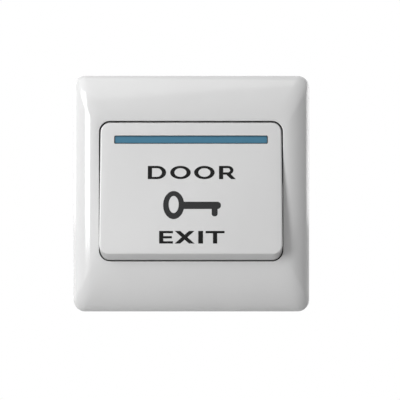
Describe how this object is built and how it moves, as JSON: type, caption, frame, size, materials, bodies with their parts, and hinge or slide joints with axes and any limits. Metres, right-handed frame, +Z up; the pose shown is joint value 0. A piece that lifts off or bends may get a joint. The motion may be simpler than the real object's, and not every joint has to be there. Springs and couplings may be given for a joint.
{
  "type": "door exit button",
  "caption": "Wall-mounted door exit button: crowned square plate, wide rocking push button with a blue strip, and a normally open contact block with screw terminals behind.",
  "frame": {"origin": "centre of the wall plate, on the plane of the wall, midway between the two fixing screws", "axes": "+X right along the wall seen from the room, +Y into the wall, +Z up; the front faces -Y"},
  "size_m": [0.086, 0.0326, 0.086],
  "materials": {
    "plate_plastic": "glossy moulded white",
    "button_plastic": "satin moulded white",
    "blue_plastic": "translucent-looking slate blue",
    "base_plastic": "moulded white",
    "housing_plastic": "moulded off-white",
    "black_plastic": "self-lubricating black",
    "contact_brass": "stamped",
    "contact_silver": "silver alloy rivet",
    "spring_steel": "drawn wire",
    "zinc_steel": "zinc plated"
  },
  "bodies": {
    "base": {"cover_frame": "plate_plastic", "mounting_base": "base_plastic", "contact_housing": "housing_plastic", "plunger_spring": "spring_steel", "return_spring_left": "spring_steel", "return_spring_right": "spring_steel", "terminal_com": "contact_brass", "terminal_no": "contact_brass", "fixed_contact_com": "contact_silver", "fixed_contact_no": "contact_silver", "clamp_plate_com": "zinc_steel", "clamp_plate_no": "zinc_steel", "terminal_screw_com": "zinc_steel", "terminal_screw_no": "zinc_steel", "housing_screw_lower": "zinc_steel", "housing_screw_upper": "zinc_steel"},
    "button": {"rocker_button": "button_plastic", "indicator_strip": "blue_plastic"},
    "plunger": {"plunger": "black_plastic", "contact_spring": "spring_steel"},
    "bridge": {"contact_bridge": "contact_brass", "bridge_contact_left": "contact_silver", "bridge_contact_right": "contact_silver"}
  },
  "joints": [
    {"name": "button_press", "type": "hinge", "parent": "base", "child": "button", "pos_m": [0, -0.0056, 0.0175], "axis": [1, 0, 0], "range_deg": [0, 4.2], "stiffness_Nm_per_rad": 1, "springref_deg": -3.44, "deforming": ["return_spring_left", "return_spring_right"]},
    {"name": "plunger_slide", "type": "slide", "parent": "base", "child": "plunger", "axis": [0, 1, 0], "range_m": [0, 0.0018], "deforming": ["plunger_spring"]},
    {"name": "bridge_slide", "type": "slide", "parent": "plunger", "child": "bridge", "axis": [0, 1, 0], "range_m": [-0.0007, 0], "deforming": ["contact_spring"]}
  ],
  "couplings": [
    {"joint": "plunger_slide", "follows": "button_press", "m_per_rad": 0.0235},
    {"joint": "bridge_slide", "follows": "button_press", "m_per_rad": -0.0085}
  ]
}
